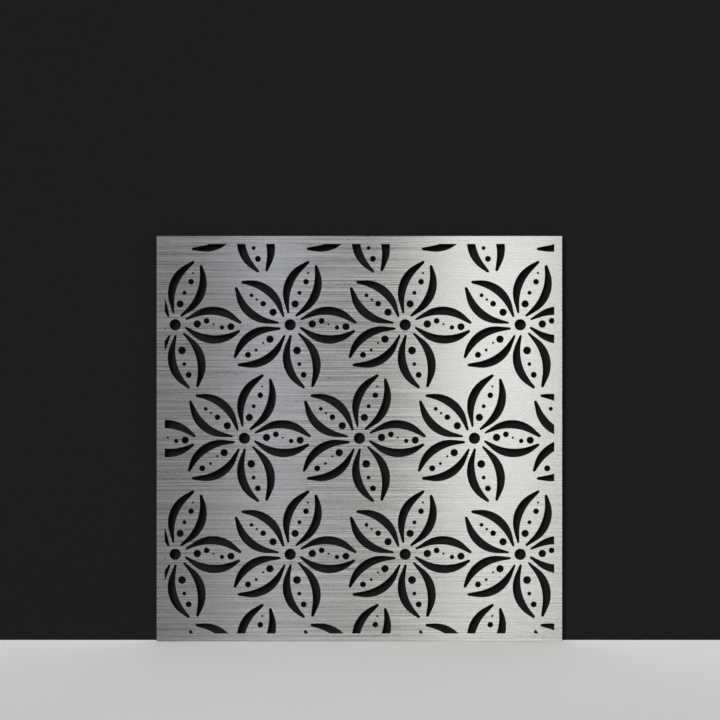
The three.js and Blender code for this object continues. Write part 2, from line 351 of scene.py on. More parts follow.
def bow_points(start, end, edge, steps):
    """The arc of a long edge: it touches the line that rises from start and the one that falls to end."""
    rise, fall, radius = edge
    up = math.tan(rise)
    down = math.tan(fall)
    peak_x = (end.y - start.y + start.x * up + end.x * down) / (up + down)
    peak_y = start.y + (peak_x - start.x) * up
    touch = radius * math.tan((rise + fall) / 2)
    centre = Vector((
        peak_x - touch * math.cos(rise) + radius * math.sin(rise),
        peak_y - touch * math.sin(rise) - radius * math.cos(rise),
    ))
    return arc_points(centre, radius, math.pi / 2 + rise, math.pi / 2 - fall, steps)


def crescent_points(length, near_tip, far_tip, outer_edge, inner_edge):
    """A crescent from (0, 0) along +X, bowed towards +Y."""
    near_radius, near_height = near_tip
    far_radius, far_height = far_tip
    near = Vector((near_radius, near_height))
    far = Vector((length - far_radius, far_height))
    outer_start = math.pi / 2 + outer_edge[0]
    outer_end = math.pi / 2 - outer_edge[1]
    inner_start = 1.5 * math.pi + inner_edge[0]
    inner_end = -math.pi / 2 - inner_edge[1]
    outer_bow = bow_points(
        point_at(near, near_radius, outer_start),
        point_at(far, far_radius, outer_end),
        outer_edge,
        OUTER_EDGE_STEPS,
    )
    inner_bow = bow_points(
        point_at(near, near_radius, inner_start),
        point_at(far, far_radius, inner_end),
        inner_edge,
        INNER_EDGE_STEPS,
    )
    return [
        *arc_points(near, near_radius, inner_start, outer_start, TIP_STEPS),
        *outer_bow,
        *arc_points(far, far_radius, outer_end, inner_end, TIP_STEPS),
        *reversed(inner_bow),
    ]


def flower_outlines():
    """Everything that is cut for one flower, round its own centre."""
    outlines = [hole_points(Vector((0, 0)), HUB_RADIUS)]
    left = crescent_points(**LEFT_CRESCENT)
    right = crescent_points(**RIGHT_CRESCENT)
    for petal in range(PETAL_COUNT):
        turn = Matrix.Rotation(PETAL_TILT + petal * 2 * math.pi / PETAL_COUNT, 2)

        def in_flower(along, aside):
            return turn @ Vector((along, PETAL_ASIDE + aside))

        outlines.append([in_flower(CRESCENT_START + p.x, CRESCENT_ASIDE + p.y) for p in left])
        outlines.append([in_flower(CRESCENT_START + p.x, -CRESCENT_ASIDE - p.y) for p in right])
        for along, aside, radius in PETAL_HOLES[petal]:
            outlines.append(hole_points(in_flower(along, aside), radius))
    return outlines


def flower_centres():
    rows = math.ceil(SHEET_HEIGHT / ROW_PAIR_PITCH)
    columns = math.ceil(SHEET_WIDTH / FLOWER_PITCH)
    centres = []
    for row in range(-rows, rows + 1):
        for column in range(-columns, columns + 1):
            x = column * FLOWER_PITCH
            y = row * ROW_PAIR_PITCH + MIDDLE_FLOWER_RISE
            centres.append(Vector((x, y)))
            centres.append(Vector((x + ODD_ROW_SHIFT, y + ODD_ROW_RISE)))
    return centres


def rectangle_points(width, height):
    corners = [(-1, -1), (1, -1), (1, 1), (-1, 1)]
    return [Vector((x * width / 2, y * height / 2)) for x, y in corners]


def area_of(outline):
    """The outline's area, positive if it turns left."""
    pairs = zip(outline, [*outline[1:], outline[0]])
    return sum(a.x * b.y - b.x * a.y for a, b in pairs) / 2


def turning_left(outline):
    return outline if area_of(outline) > 0 else list(reversed(outline))


# ---- The sheet -----------------------------------------------------------------------------


def triangles_over(outlines):
    """(points, triangles, and for each triangle the numbers of the outlines that hold it)."""
    points, faces = [], []
    for outline in outlines:
        faces.append(list(range(len(points), len(points) + len(outline))))
        points += turning_left(outline)
    made = delaunay_2d_cdt(points, [], faces, ALL_TRIANGLES, NEARNESS, True)
    points, _, triangles, _, _, holders = made
    return points, triangles, holders


def edge_loops(triangles):
    """The loops of points round an area of triangles, with the area on their left."""
    sides = {(t[i], t[(i + 1) % 3]) for t in triangles for i in range(3)}
    after = {a: b for a, b in sides if (b, a) not in sides}
    loops = []
    while after:
        start, here = after.popitem()
        loop = [start]
        while here != start:
            loop.append(here)
            here = after.pop(here)
        loops.append(loop)
    return loops


def cut_outlines():
    """Everything that is cut from the sheet, ending at the border."""
    width = SHEET_WIDTH - 2 * BORDER
    height = SHEET_HEIGHT - 2 * BORDER
    cuts = []
    for centre in flower_centres():
        for outline in flower_outlines():
            moved = [point + centre for point in outline]
            if any(abs(p.x) < width / 2 and abs(p.y) < height / 2 for p in moved):
                cuts.append(moved)
    points, triangles, holders = triangles_over([rectangle_points(width, height), *cuts])
    removed = [t for t, held in zip(triangles, holders) if 0 in held and len(held) > 1]
    outlines = [[points[i] for i in loop] for loop in edge_loops(removed)]
    return [outline for outline in outlines if area_of(outline) > SMALLEST_CUT]


def inward(last, here, following):
    """From an edge point into the metal, which is on the left, by one unit square to both edges."""
    first = (here - last).normalized().orthogonal()
    second = (following - here).normalized().orthogonal()
    between = first + second
    reach = between / (1 + first.dot(second))
    return reach if reach.length < LONGEST_MITRE else between.normalized() * LONGEST_MITRE


def edge_moves(flat, loops):
    """For each point on an edge, its way into the metal."""
    moves = {}
    for loop in loops:
        for i, here in enumerate(loop):
            after = loop[(i + 1) % len(loop)]
            moves[here] = inward(flat[loop[i - 1]], flat[here], flat[after])
    return moves


def layered(flat, moves):
    """The flat points once for each of the sheet's layers, in their places."""
    points = []
    for depth, edge_break in SHEET_LAYERS:
        for i, point in enumerate(flat):
            moved = point + moves[i] * edge_break
            points.append((SHEET_CENTRE.x + moved.x * MM, depth, SHEET_CENTRE.z + moved.y * MM))
    return points


def add_sheet():
    sheet = rectangle_points(SHEET_WIDTH, SHEET_HEIGHT)
    flat, triangles, holders = triangles_over([sheet, *cut_outlines()])
    metal = [t for t, held in zip(triangles, holders) if held == [0]]
    loops = edge_loops(metal)
    points = layered(flat, edge_moves(flat, loops))
    count = len(flat)
    last_layer = len(SHEET_LAYERS) - 1
    back = last_layer * count
    faces, finish, grain = [], [], []
    for a, b, c in metal:
        for face, kind in (((a, b, c), FACE_FINISH), ((back + a, back + c, back + b), BACK_FINISH)):
            faces.append(face)
            finish.append(kind)
            grain += [(points[i][2], points[i][0]) for i in face]
    for loop in loops:
        along = 0
        for i, a in enumerate(loop):
            b = loop[(i + 1) % len(loop)]
            onward = along + (flat[b] - flat[a]).length * MM
            for layer in range(last_layer):
                upper, lower = layer * count, (layer + 1) * count
                faces.append((upper + a, lower + a, lower + b, upper + b))
                finish.append(WALL_FINISH)
                top, bottom = points[upper + a][1], points[lower + a][1]
                grain += [(along, top), (along, bottom), (onward, bottom), (onward, top)]
            along = onward
    finishes = [brushed_face(), cut_wall(), mill_back()]
    mesh = mesh_from("brushed_sheet", points, faces, grain, finishes, finish)
    add_piece("brushed_sheet", mesh, ["screen_panel"])


# ---- The frame -----------------------------------------------------------------------------

# The screen as it is put together: on its back, round the middle of the sheet's back, with the
# frame below Z = 0. A side of the frame is made along X and turned about Z to its place.
LAYOUT = Matrix.Translation(SHEET_CENTRE) @ Matrix.Rotation(math.pi / 2, 4, "X")
HALF_SIDE = SHEET_WIDTH * MM / 2


def quarter_turn(count):
    return LAYOUT @ Matrix.Rotation(count * math.pi / 2, 4, "Z")


def angle_section():
    """The angle's section: X across the leg that lies on the sheet, Y along the one at its edge."""
    return rounded([
        (0, 0, ANGLE_CORNER_RADIUS, CORNER_STEPS),
        (0, -ANGLE_LEG, ANGLE_CORNER_RADIUS, CORNER_STEPS),
        (ANGLE_WALL, -ANGLE_LEG, ANGLE_TOE_RADIUS, CORNER_STEPS),
        (ANGLE_WALL, -ANGLE_WALL, ANGLE_ROOT_RADIUS, ROOT_STEPS),
        (ANGLE_LEG, -ANGLE_WALL, ANGLE_TOE_RADIUS, CORNER_STEPS),
        (ANGLE_LEG, 0, ANGLE_CORNER_RADIUS, CORNER_STEPS),
    ])


def hole_cutter(radius, place):
    """A tool that drills a wall between Z = 0 and -ANGLE_WALL and chamfers the hole's two rims."""
    wide = radius + 2 * HOLE_CHAMFER
    rings = []
    for z, ring_radius in (
        (-ANGLE_WALL - HOLE_CHAMFER, wide),
        (-ANGLE_WALL + HOLE_CHAMFER, radius),
        (-HOLE_CHAMFER, radius),
        (HOLE_CHAMFER, wide),
    ):
        ring = circle_points(Vector((0, 0)), ring_radius, FRAME_HOLE_SIDES)
        rings.append([place @ Vector((p.x, p.y, z)) for p in ring])
    return closed_rings(rings)


def drilled(mesh, cutters):
    """The mesh with each cutter's shape taken away."""
    tool = add_object("cutters", bare_mesh("cutters", *joined(*cutters)))
    work = add_object("drilled", mesh)
    cut = work.modifiers.new("cut", "BOOLEAN")
    cut.operation = "DIFFERENCE"
    cut.solver = "EXACT"
    cut.object = tool
    made = work.evaluated_get(bpy.context.evaluated_depsgraph_get())
    result = bpy.data.meshes.new_from_object(made)
    for spent in (tool, work):
        bpy.data.objects.remove(spent)
    return result


def angle_mesh(finish):
    """One side of the frame along X, cut at 45 degrees at both ends and drilled."""
    end = HALF_SIDE - MITRE_GAP / math.sqrt(2)
    section = list(reversed(angle_section()))
    rings = [[Vector((sign * (end - p.x), p.x, p.y)) for p in section] for sign in (-1, 1)]
    bar = bare_mesh("angle", *closed_rings(rings))
    cutters = []
    for node in sorted(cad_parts):
        if node.startswith("stud_bottom"):
            low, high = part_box(node)
            x = (low[0] + high[0]) / 2
            cutters.append(hole_cutter(STUD_HOLE_RADIUS, Matrix.Translation((x, LEG_MIDDLE, 0))))
    upright = Matrix.Rotation(math.pi / 2, 4, "X")
    for x in (-SCREW_HOLE_SPACING / 2, SCREW_HOLE_SPACING / 2):
        place = Matrix.Translation((x, 0, -LEG_MIDDLE)) @ upright
        cutters.append(hole_cutter(SCREW_HOLE_RADIUS, place))
    mesh = drilled(bar, cutters)
    lay_grain(mesh, lambda p: (p.y - p.z, p.x))
    mesh.materials.append(finish)
    smooth(mesh)
    return mesh


def add_frame():
    mesh = angle_mesh(mill_angle())
    to_side = Matrix.Translation((0, -HALF_SIDE, 0))
    for count, side in enumerate(SIDES):
        add_piece(f"angle_{side}", mesh, [f"frame_{side}"], quarter_turn(count) @ to_side)


# ---- The corner welds ----------------------------------------------------------------------

# A corner's own axes: X from the outer corner inwards along the mitre, Y across it.


def weld_fill():
    """The weld that fills the gap between the mitred ends, ground flush outside."""
    section = angle_section()
    half = MITRE_GAP / 2
    return closed_rings([
        [Vector((p.x * math.sqrt(2) + abs(y), y, p.y)) for p in section] for y in (-half, 0, half)
    ])


def bead_path():
    """Points along the mitre's inner side, each with the way out of the metal and the bead's height."""
    root = ANGLE_WALL + ANGLE_ROOT_RADIUS
    toe = ANGLE_LEG - BEAD_SHORT_OF_TOE
    bends = [Vector((toe, -ANGLE_WALL))]
    bends += arc_points(Vector((root, -root)), ANGLE_ROOT_RADIUS, math.pi / 2, math.pi, ROOT_STEPS)
    bends += [Vector((ANGLE_WALL, -toe))]
    bends = [Vector((p.x * math.sqrt(2), p.y)) for p in bends]
    lengths = [(b - a).length for a, b in zip(bends, bends[1:])]
    total = sum(lengths)
    path = []
    for step in range(int(total / BEAD_STEP) + 1):
        gone = step * BEAD_STEP
        left = gone
        part = 0
        while left > lengths[part]:
            left -= lengths[part]
            part += 1
        point = bends[part].lerp(bends[part + 1], left / lengths[part])
        upright = min(max((-point.y - ANGLE_WALL) / ANGLE_ROOT_RADIUS, 0), 1)
        out = Vector((upright, -(1 - upright))).normalized()
        height = BEAD_HEIGHT + (BEAD_CORNER_HEIGHT - BEAD_HEIGHT) * upright
        path.append((gone, total, point, out, height))
    return path


def weld_bead():
    """The bead in the mitre's inner side, with the ripples of its weld pool."""
    rings = []
    for gone, total, point, out, height in bead_path():
        near_end = min(gone, total - gone, BEAD_END) / BEAD_END
        size = math.sqrt(max(1 - (1 - near_end) ** 2, BEAD_END_SIZE ** 2))
        ring = []
        for i in range(BEAD_SIDES):
            turn = 2 * math.pi * i / BEAD_SIDES
            across = math.cos(turn)
            phase = gone / BEAD_RIPPLE + BEAD_RIPPLE_SWEEP * across ** 2
            ripple = 1 - BEAD_RIPPLE_DEPTH * (phase % 1)
            lift = math.sin(turn) * height * size * ripple
            aside = across * BEAD_HALF_WIDTH * size * ripple
            ring.append(Vector((point.x + out.x * lift, aside, point.y + out.y * lift)))
        rings.append(ring)
    return closed_rings(rings)


def add_corner_welds():
    parts = [weld_fill(), weld_bead()]
    points, faces = joined(*parts)
    finish = [number for number, part in enumerate(parts) for _ in part[1]]
    finishes = [ground_weld(), weld_metal()]
    mesh = mesh_from("corner_weld", points, faces, lambda p: (p.y, p.x - p.z), finishes, finish)
    to_corner = Matrix.Translation((HALF_SIDE, -HALF_SIDE, 0)) @ Matrix.Rotation(0.75 * math.pi, 4, "Z")
    for count in range(len(SIDES)):
        weld = mesh.copy()
        weld.transform(quarter_turn(count) @ to_corner)
        add_piece(f"corner_weld_{count + 1}", weld)
    bpy.data.meshes.remove(mesh)


# ---- The studs and nuts --------------------------------------------------------------------

# Each is made with +Z away from the sheet.


def thread_radius(z, turn):
    """Radius of a right-hand thread, at a height and an angle round it."""
    phase = (z / THREAD_PITCH - turn / (2 * math.pi)) % 1
    rise = (abs(2 * phase - 1) - THREAD_ROOT_SHARE) / (1 - THREAD_ROOT_SHARE - THREAD_CREST_SHARE)
    return THREAD_ROOT_RADIUS + (THREAD_OUTER_RADIUS - THREAD_ROOT_RADIUS) * min(max(rise, 0), 1)


def round_ring(z, radius_at):
    """A ring at a height, whose radius is a function of the angle round it."""
    turns = [2 * math.pi * i / ROUND_SIDES for i in range(ROUND_SIDES)]
    return [Vector((radius_at(t) * math.cos(t), radius_at(t) * math.sin(t), z)) for t in turns]


def disc_rings(radius, height, edge_break):
    """The rings of a flat disc whose two edges are broken."""
    return [
        round_ring(0, lambda t: radius - edge_break),
        round_ring(edge_break, lambda t: radius),
        round_ring(height - edge_break, lambda t: radius),
        round_ring(height, lambda t: radius - edge_break),
    ]


def turned_grain(point):
    """The grain of a turned piece: across is round its axis and along is up it."""
    return math.atan2(point.y, point.x) * point.xy.length, point.z


def stud_mesh(finish):
    """A weld stud: its foot on the sheet, and its thread up to the chamfered tip."""
    rings = disc_rings(STUD_FOOT_RADIUS, STUD_FOOT_THICKNESS, STUD_FOOT_BREAK)
    steps = round((STUD_LENGTH - STUD_FOOT_THICKNESS) / THREAD_PITCH * THREAD_STEPS)
    for i in range(steps + 1):
        z = STUD_FOOT_THICKNESS + (STUD_LENGTH - STUD_FOOT_THICKNESS) * i / steps
        cone = THREAD_OUTER_RADIUS - STUD_TIP_CHAMFER + STUD_LENGTH - z
        rings.append(round_ring(z, lambda t: min(thread_radius(z, t), cone)))
    points, faces = closed_rings(rings)
    return mesh_from("stud", points, faces, turned_grain, [finish])


def hexagon_radius(turn):
    """From the nut's axis to its hexagon, at an angle round it."""
    from_flat = (turn % (math.pi / 3)) - math.pi / 6
    return NUT_HALF_FLATS / math.cos(from_flat)


def nut_mesh(finish):
    """A flange nut: up its outside, over its top and down its threaded bore."""
    rings = disc_rings(NUT_FLANGE_RADIUS, NUT_FLANGE_RIM, NUT_FLANGE_RIM_BREAK)
    rings.append(round_ring(NUT_SKIRT_TOP, hexagon_radius))
    corner_radius = NUT_HALF_FLATS / math.cos(math.pi / 6)
    chamfer_height = (corner_radius - NUT_TOP_RADIUS) * math.tan(NUT_CHAMFER_SLOPE)
    for i in range(NUT_CHAMFER_STEPS + 1):
        z = NUT_HEIGHT - chamfer_height * (1 - i / NUT_CHAMFER_STEPS)
        cone = NUT_TOP_RADIUS + (NUT_HEIGHT - z) / math.tan(NUT_CHAMFER_SLOPE)
        rings.append(round_ring(z, lambda t: min(hexagon_radius(t), cone)))
    bore_steps = round(NUT_HEIGHT / THREAD_PITCH * THREAD_STEPS)
    for i in range(bore_steps + 1):
        z = NUT_HEIGHT * (1 - i / bore_steps)
        mouth = THREAD_OUTER_RADIUS + NUT_COUNTERSINK - min(z, NUT_HEIGHT - z)
        rings.append(round_ring(z, lambda t: max(thread_radius(z, t) + THREAD_PLAY, mouth)))
    points = [point for ring in rings for point in ring]
    faces = ring_faces(len(rings), ROUND_SIDES, around=True)
    return mesh_from("nut", points, faces, turned_grain, [finish])


def add_fasteners():
    stud = stud_mesh(stud_steel())
    nut = nut_mesh(bright_nut())
    away_from_sheet = Matrix.Rotation(-math.pi / 2, 4, "X")
    names = sorted(node[len("nut_"):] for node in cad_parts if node.startswith("nut_"))
    for count, name in enumerate(names):
        spin = Matrix.Rotation(count * GOLDEN_TURN, 4, "Z")
        for kind, mesh in (("stud", stud), ("nut", nut)):
            low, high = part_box(f"{kind}_{name}")
            seat = Matrix.Translation(((low[0] + high[0]) / 2, low[1], (low[2] + high[2]) / 2))
            place = seat @ away_from_sheet @ spin
            add_piece(f"threaded_{kind}_{name}", mesh, [f"{kind}_{name}"], place)


# ---- Finishes ------------------------------------------------------------------------------

NOISE_ROUGHNESS = 0.55
NOISE_APART = 40                       # most between two pieces' places in the same noise
NOISE_LOW = 0.3                        # most of a noise's values lie between these
NOISE_HIGH = 0.7
STREAKS_LOW = 0.46                     # and of the brushed face's summed streaks, between these
STREAKS_HIGH = 0.84
STREAKS_POWER = 1.4                    # over 1, so that bright streaks are rarer than dark ones
MIX_DARK, MIX_LIGHT, MIX_COLOUR = 6, 7, 2      # the Mix node's sockets for colours: two in, one out


def add_node(tree, kind, inputs=None, **settings):
    """A shader node with its settings, and its inputs set to values or linked to outputs."""
    made = tree.nodes.new(kind)
    for key, value in settings.items():
        setattr(made, key, value)
    for key, value in (inputs or {}).items():
        if isinstance(value, bpy.types.NodeSocket):
            tree.links.new(value, made.inputs[key])
        else:
            made.inputs[key].default_value = value
    return made


def calculated(tree, operation, *values):
    """The result of a Math node."""
    return add_node(tree, "ShaderNodeMath", dict(enumerate(values)), operation=operation).outputs[0]


def mixed(tree, parts):
    """The sum of some noises, each (noise, weight)."""
    total = 0
    for noise, weight in parts:
        total = calculated(tree, "MULTIPLY_ADD", noise, weight, total)
    return total


def ranged(tree, value, low, high, to_low=0, to_high=1, **settings):
    """A value from one range, stretched to another and kept inside it."""
    inputs = {"Value": value, "From Min": low, "From Max": high, "To Min": to_low, "To Max": to_high}
    return add_node(tree, "ShaderNodeMapRange", inputs, **settings).outputs[0]


def tinted(tree, value, dark, light):
    """A colour between two, by a value from 0 to 1."""
    inputs = {"Factor": value, MIX_DARK: (*dark, 1), MIX_LIGHT: (*light, 1)}
    return add_node(tree, "ShaderNodeMix", inputs, data_type="RGBA").outputs[MIX_COLOUR]


def grain_noise(tree, across, along, detail=2, distortion=0):
    """Noise whose features are about that size across and along the grain, in metres.

    Each piece takes it from a place of its own.
    """
    spot = add_node(tree, "ShaderNodeUVMap", uv_map=GRAIN_MAP)
    inputs = {0: spot.outputs[0], 1: (1 / across, 1 / along, 1)}
    scaled = add_node(tree, "ShaderNodeVectorMath", inputs, operation="MULTIPLY")
    piece = add_node(tree, "ShaderNodeObjectInfo")
    apart = calculated(tree, "MULTIPLY", piece.outputs["Random"], NOISE_APART)
    shift = add_node(tree, "ShaderNodeCombineXYZ", {"Z": apart})
    inputs = {0: scaled.outputs[0], 1: shift.outputs[0]}
    place = add_node(tree, "ShaderNodeVectorMath", inputs, operation="ADD")
    noise = add_node(tree, "ShaderNodeTexNoise", {
        "Vector": place.outputs[0],
        "Scale": 1,
        "Detail": detail,
        "Roughness": NOISE_ROUGHNESS,
        "Distortion": distortion,
    })
    return noise.outputs[0]


def new_metal(name, **constants):
    """A metal material: (material, its node tree, its shader)."""
    material = bpy.data.materials.new(name)
    material.use_nodes = True
    tree = material.node_tree
    shader = tree.nodes["Principled BSDF"]
    shader.inputs["Metallic"].default_value = 1
    for key, value in constants.items():
        shader.inputs[key].default_value = value
    return material, tree, shader


def vary_colour(tree, shader, tone, dark, light, low=NOISE_LOW, high=NOISE_HIGH):
    """Sets the colour by a noise: dark where it is low, and light where it is high."""
    colour = tinted(tree, ranged(tree, tone, low, high), dark, light)
    tree.links.new(colour, shader.inputs["Base Color"])


def vary_roughness(tree, shader, tone, least, most, low=NOISE_LOW, high=NOISE_HIGH):
    """Sets the roughness by a noise: least where it is low, and most where it is high."""
    roughness = ranged(tree, tone, low, high, least, most)
    tree.links.new(roughness, shader.inputs["Roughness"])


def add_bump(tree, shader, height, strength, depth):
    inputs = {"Height": height, "Strength": strength, "Distance": depth}
    bump = add_node(tree, "ShaderNodeBump", inputs)
    tree.links.new(bump.outputs[0], shader.inputs["Normal"])


def stretch_highlights(tree, shader):
    """Turns the shader's anisotropy so that highlights stretch across the grain."""
    tangent = add_node(tree, "ShaderNodeTangent", direction_type="UV_MAP", uv_map=GRAIN_MAP)
    tree.links.new(tangent.outputs[0], shader.inputs["Tangent"])


def brushed_face():
    """Stainless steel with a level brushed grain: long and short streaks, and a fine speckle."""
    material, tree, shader = new_metal("brushed_steel", Anisotropic=0.95)
    long_streaks = grain_noise(tree, across=1.7 * MM, along=0.4, detail=3)
    short_streaks = grain_noise(tree, across=1.7 * MM, along=0.035, detail=2)
    speckle = grain_noise(tree, across=2 * MM, along=2.2 * MM, detail=2)
    scratches = grain_noise(tree, across=0.35 * MM, along=0.02, detail=2)
    streaks = mixed(tree, [(long_streaks, 0.85), (short_streaks, 0.15), (speckle, 0.3)])
    even = ranged(tree, streaks, STREAKS_LOW, STREAKS_HIGH)
    tone = calculated(tree, "POWER", even, STREAKS_POWER)
    colour = tinted(tree, tone, dark=(0.36, 0.36, 0.358), light=(0.95, 0.95, 0.947))
    tree.links.new(colour, shader.inputs["Base Color"])
    vary_roughness(tree, shader, tone, least=0.23, most=0.46, low=0, high=1)
    add_bump(tree, shader, scratches, strength=0.12, depth=0.02 * MM)
    stretch_highlights(tree, shader)
    return material


def cut_wall():
    """The wall that a laser leaves: dull, with fine striations through the sheet's thickness."""
    material, tree, shader = new_metal("laser_cut_edge")
    striations = grain_noise(tree, across=0.18 * MM, along=3 * MM, detail=3)
    clouds = grain_noise(tree, across=6 * MM, along=2 * MM)
    tone = mixed(tree, [(striations, 0.7), (clouds, 0.3)])
    vary_colour(tree, shader, tone, dark=(0.26, 0.255, 0.25), light=(0.5, 0.495, 0.485))
    vary_roughness(tree, shader, tone, least=0.38, most=0.55)
    add_bump(tree, shader, striations, strength=0.5, depth=0.03 * MM)
    return material


def mill_back():
    """The sheet's back as it came from the mill: smooth and dull, faintly marked by the rolls."""
    material, tree, shader = new_metal("mill_finish", Anisotropic=0.3)
    rolls = grain_noise(tree, across=9 * MM, along=0.8, detail=3)
    clouds = grain_noise(tree, across=0.12, along=0.15, detail=4)
    fine = grain_noise(tree, across=0.7 * MM, along=1.1 * MM, detail=3)
    tone = mixed(tree, [(rolls, 0.3), (clouds, 0.45), (fine, 0.25)])
    vary_colour(tree, shader, tone, dark=(0.44, 0.44, 0.44), light=(0.58, 0.58, 0.58))
    vary_roughness(tree, shader, tone, least=0.34, most=0.48)
    add_bump(tree, shader, fine, strength=0.15, depth=0.02 * MM)
    stretch_highlights(tree, shader)
    return material


def mill_angle():
    """Rolled and pickled angle: dull, drawn along its length, with a few rubbed marks."""
    material, tree, shader = new_metal("mill_angle", Anisotropic=0.45)
    drawn = grain_noise(tree, across=0.6 * MM, along=0.12, detail=3)
    pickled = grain_noise(tree, across=2.5 * MM, along=4 * MM, detail=4, distortion=0.4)
    rubbed = grain_noise(tree, across=7 * MM, along=0.06, detail=4)
    tone = mixed(tree, [(drawn, 0.4), (pickled, 0.35), (rubbed, 0.25)])
    relief = mixed(tree, [(drawn, 0.5), (pickled, 0.5)])
    vary_colour(tree, shader, tone, dark=(0.37, 0.37, 0.37), light=(0.57, 0.57, 0.565))
    vary_roughness(tree, shader, tone, least=0.36, most=0.56)
    add_bump(tree, shader, relief, strength=0.3, depth=0.04 * MM)
    stretch_highlights(tree, shader)
    return material


def ground_weld():
    """Where a corner weld was ground flush: brighter than the angle, with coarse grinding marks."""
    material, tree, shader = new_metal("ground_weld")
    marks = grain_noise(tree, across=0.3 * MM, along=3 * MM, detail=3)
    vary_colour(tree, shader, marks, dark=(0.5, 0.5, 0.49), light=(0.7, 0.7, 0.69))
    vary_roughness(tree, shader, marks, least=0.28, most=0.42)
    return material


def weld_metal():
    """A bead of weld: bright, with straw and brown heat tint in places."""
    material, tree, shader = new_metal("weld_bead")
    heat = grain_noise(tree, across=2.5 * MM, along=5 * MM, detail=3, distortion=0.5)
    speckle = grain_noise(tree, across=0.25 * MM, along=0.25 * MM, detail=3)
    vary_colour(tree, shader, heat, dark=(0.42, 0.35, 0.26), light=(0.6, 0.59, 0.57), low=0.35, high=0.65)
    vary_roughness(tree, shader, speckle, least=0.25, most=0.42)
    add_bump(tree, shader, speckle, strength=0.2, depth=0.03 * MM)
    return material


def stud_steel():
    """A rolled thread: satin, a little darker in places."""
    material, tree, shader = new_metal("stud_steel")
    rolled = grain_noise(tree, across=1.5 * MM, along=0.15 * MM, detail=3)
    clouds = grain_noise(tree, across=3 * MM, along=3 * MM)
    tone = mixed(tree, [(rolled, 0.5), (clouds, 0.5)])
    vary_colour(tree, shader, tone, dark=(0.42, 0.41, 0.39), light=(0.64, 0.63, 0.6))
    vary_roughness(tree, shader, tone, least=0.3, most=0.46)
    add_bump(tree, shader, rolled, strength=0.15, depth=0.02 * MM)
    return material


def bright_nut():
    """A cold-formed nut: bright, with faint forming lines and handling marks."""
    material, tree, shader = new_metal("nut_steel")
    lines = grain_noise(tree, across=3 * MM, along=0.12 * MM, detail=3)
    marks = grain_noise(tree, across=1.2 * MM, along=1.2 * MM, detail=4, distortion=0.8)
    tone = mixed(tree, [(lines, 0.45), (marks, 0.55)])
    vary_colour(tree, shader, tone, dark=(0.56, 0.56, 0.57), light=(0.76, 0.76, 0.77))
    vary_roughness(tree, shader, tone, least=0.2, most=0.36)
    add_bump(tree, shader, tone, strength=0.12, depth=0.03 * MM)
    return material


# ---- The studio ----------------------------------------------------------------------------

STAGE_ROUGHNESS = 0.9
STAGE_SPECULAR = 0.1
FLOOR_HALF = 60
FLOOR_COLOUR = (0.8, 0.8, 0.79)
FLOOR_BOUNCE = (0.25, 0.25, 0.25)      # what the floor throws back on to what stands on it
WALL_BEHIND = 4 * MM                   # from the frame's rear rim to the dark wall behind it
WALL_HALF_WIDTH = 6
WALL_HEIGHT = 5
WALL_COLOUR = (0.0096, 0.0096, 0.0098)
ROOM_COLOUR = (1, 1, 1)
BACKDROP_LEVEL = 0.78                  # of the room, to the eye and in reflections
AMBIENT_LEVEL = 0.12                   # of the light that the room gives

# The grey flags that the metal reflects. Their colours are the ones on the left and on the right.
FLAG_DISTANCE = 6.5                    # in front of the sheet
FLAG_HEIGHT = 9
FLAG_LIFT = 1 * MM                     # over the floor
FLAG_REACH = 1.6                       # how far to the side the sheet shows the flags' edges
GRADE_LEFT = -0.6                      # where it shows the left colour end, and the right one start
GRADE_RIGHT = -0.2
FLOOR_FLAG_COLOURS = ((0.29, 0.29, 0.29), (0.61, 0.6, 0.57))
UPRIGHT_FLAG_COLOURS = ((0.24, 0.24, 0.24), (0.2, 0.195, 0.183))

# The lights. A soft one has its place, the point that it faces, its width and height, its radiance,
# which is what a mirror would show of it, and its colour.
STRIP_RIGHT = {
    "place": (0.92, -6, 1.25),
    "aim": (0.42, 0, 0.6),
    "size": (0.96, 2.5),
    "radiance": 3.1,
    "colour": (1, 0.985, 0.965),
}
STRIP_LEFT = {
    "place": (-0.56, -6, 2.1),
    "aim": (-0.25, 0, 0.6),
    "size": (0.12, 4),
    "radiance": 3.7,
    "colour": (0.72, 0.77, 1),
}
OVERHEAD = {"place": (0.4, 1.8, 4.2), "aim": (0, 0.4, 0), "size": (3.5, 3.5), "radiance": 1.8}
REAR = {"place": (-1.8, 4.5, 2.6), "aim": (0, 0, 0.6), "size": (2, 2), "radiance": 1.2}
KEY_STRENGTH = 3.4
KEY_ANGLE = 22 * DEGREE
KEY_DIRECTION = (0.42, 1, -0.42)


def hide_from(thing, *rays):
    for kind in rays:
        setattr(thing, f"visible_{kind}", False)


def add_card(name, corners, material):
    """A flat card with four corners, which isn't part of the screen."""
    mesh = bare_mesh(name, corners, [range(len(corners))])
    mesh.materials.append(material)
    card = add_object(name, mesh)
    return card


def matt(name, colour):
    material = bpy.data.materials.new(name)
    material.use_nodes = True
    shader = material.node_tree.nodes["Principled BSDF"]
    shader.inputs["Base Color"].default_value = (*colour, 1)
    shader.inputs["Roughness"].default_value = STAGE_ROUGHNESS
    shader.inputs["Specular IOR Level"].default_value = STAGE_SPECULAR
    return material


def seen_or_reflected(tree):
    """1 for what the eye sees, straight or in a reflection, and 0 for light that bounces."""
    rays = add_node(tree, "ShaderNodeLightPath")
    seen = rays.outputs["Is Camera Ray"]
    for kind in ("Is Glossy Ray", "Is Transmission Ray"):
        seen = calculated(tree, "MAXIMUM", seen, rays.outputs[kind])
    return seen


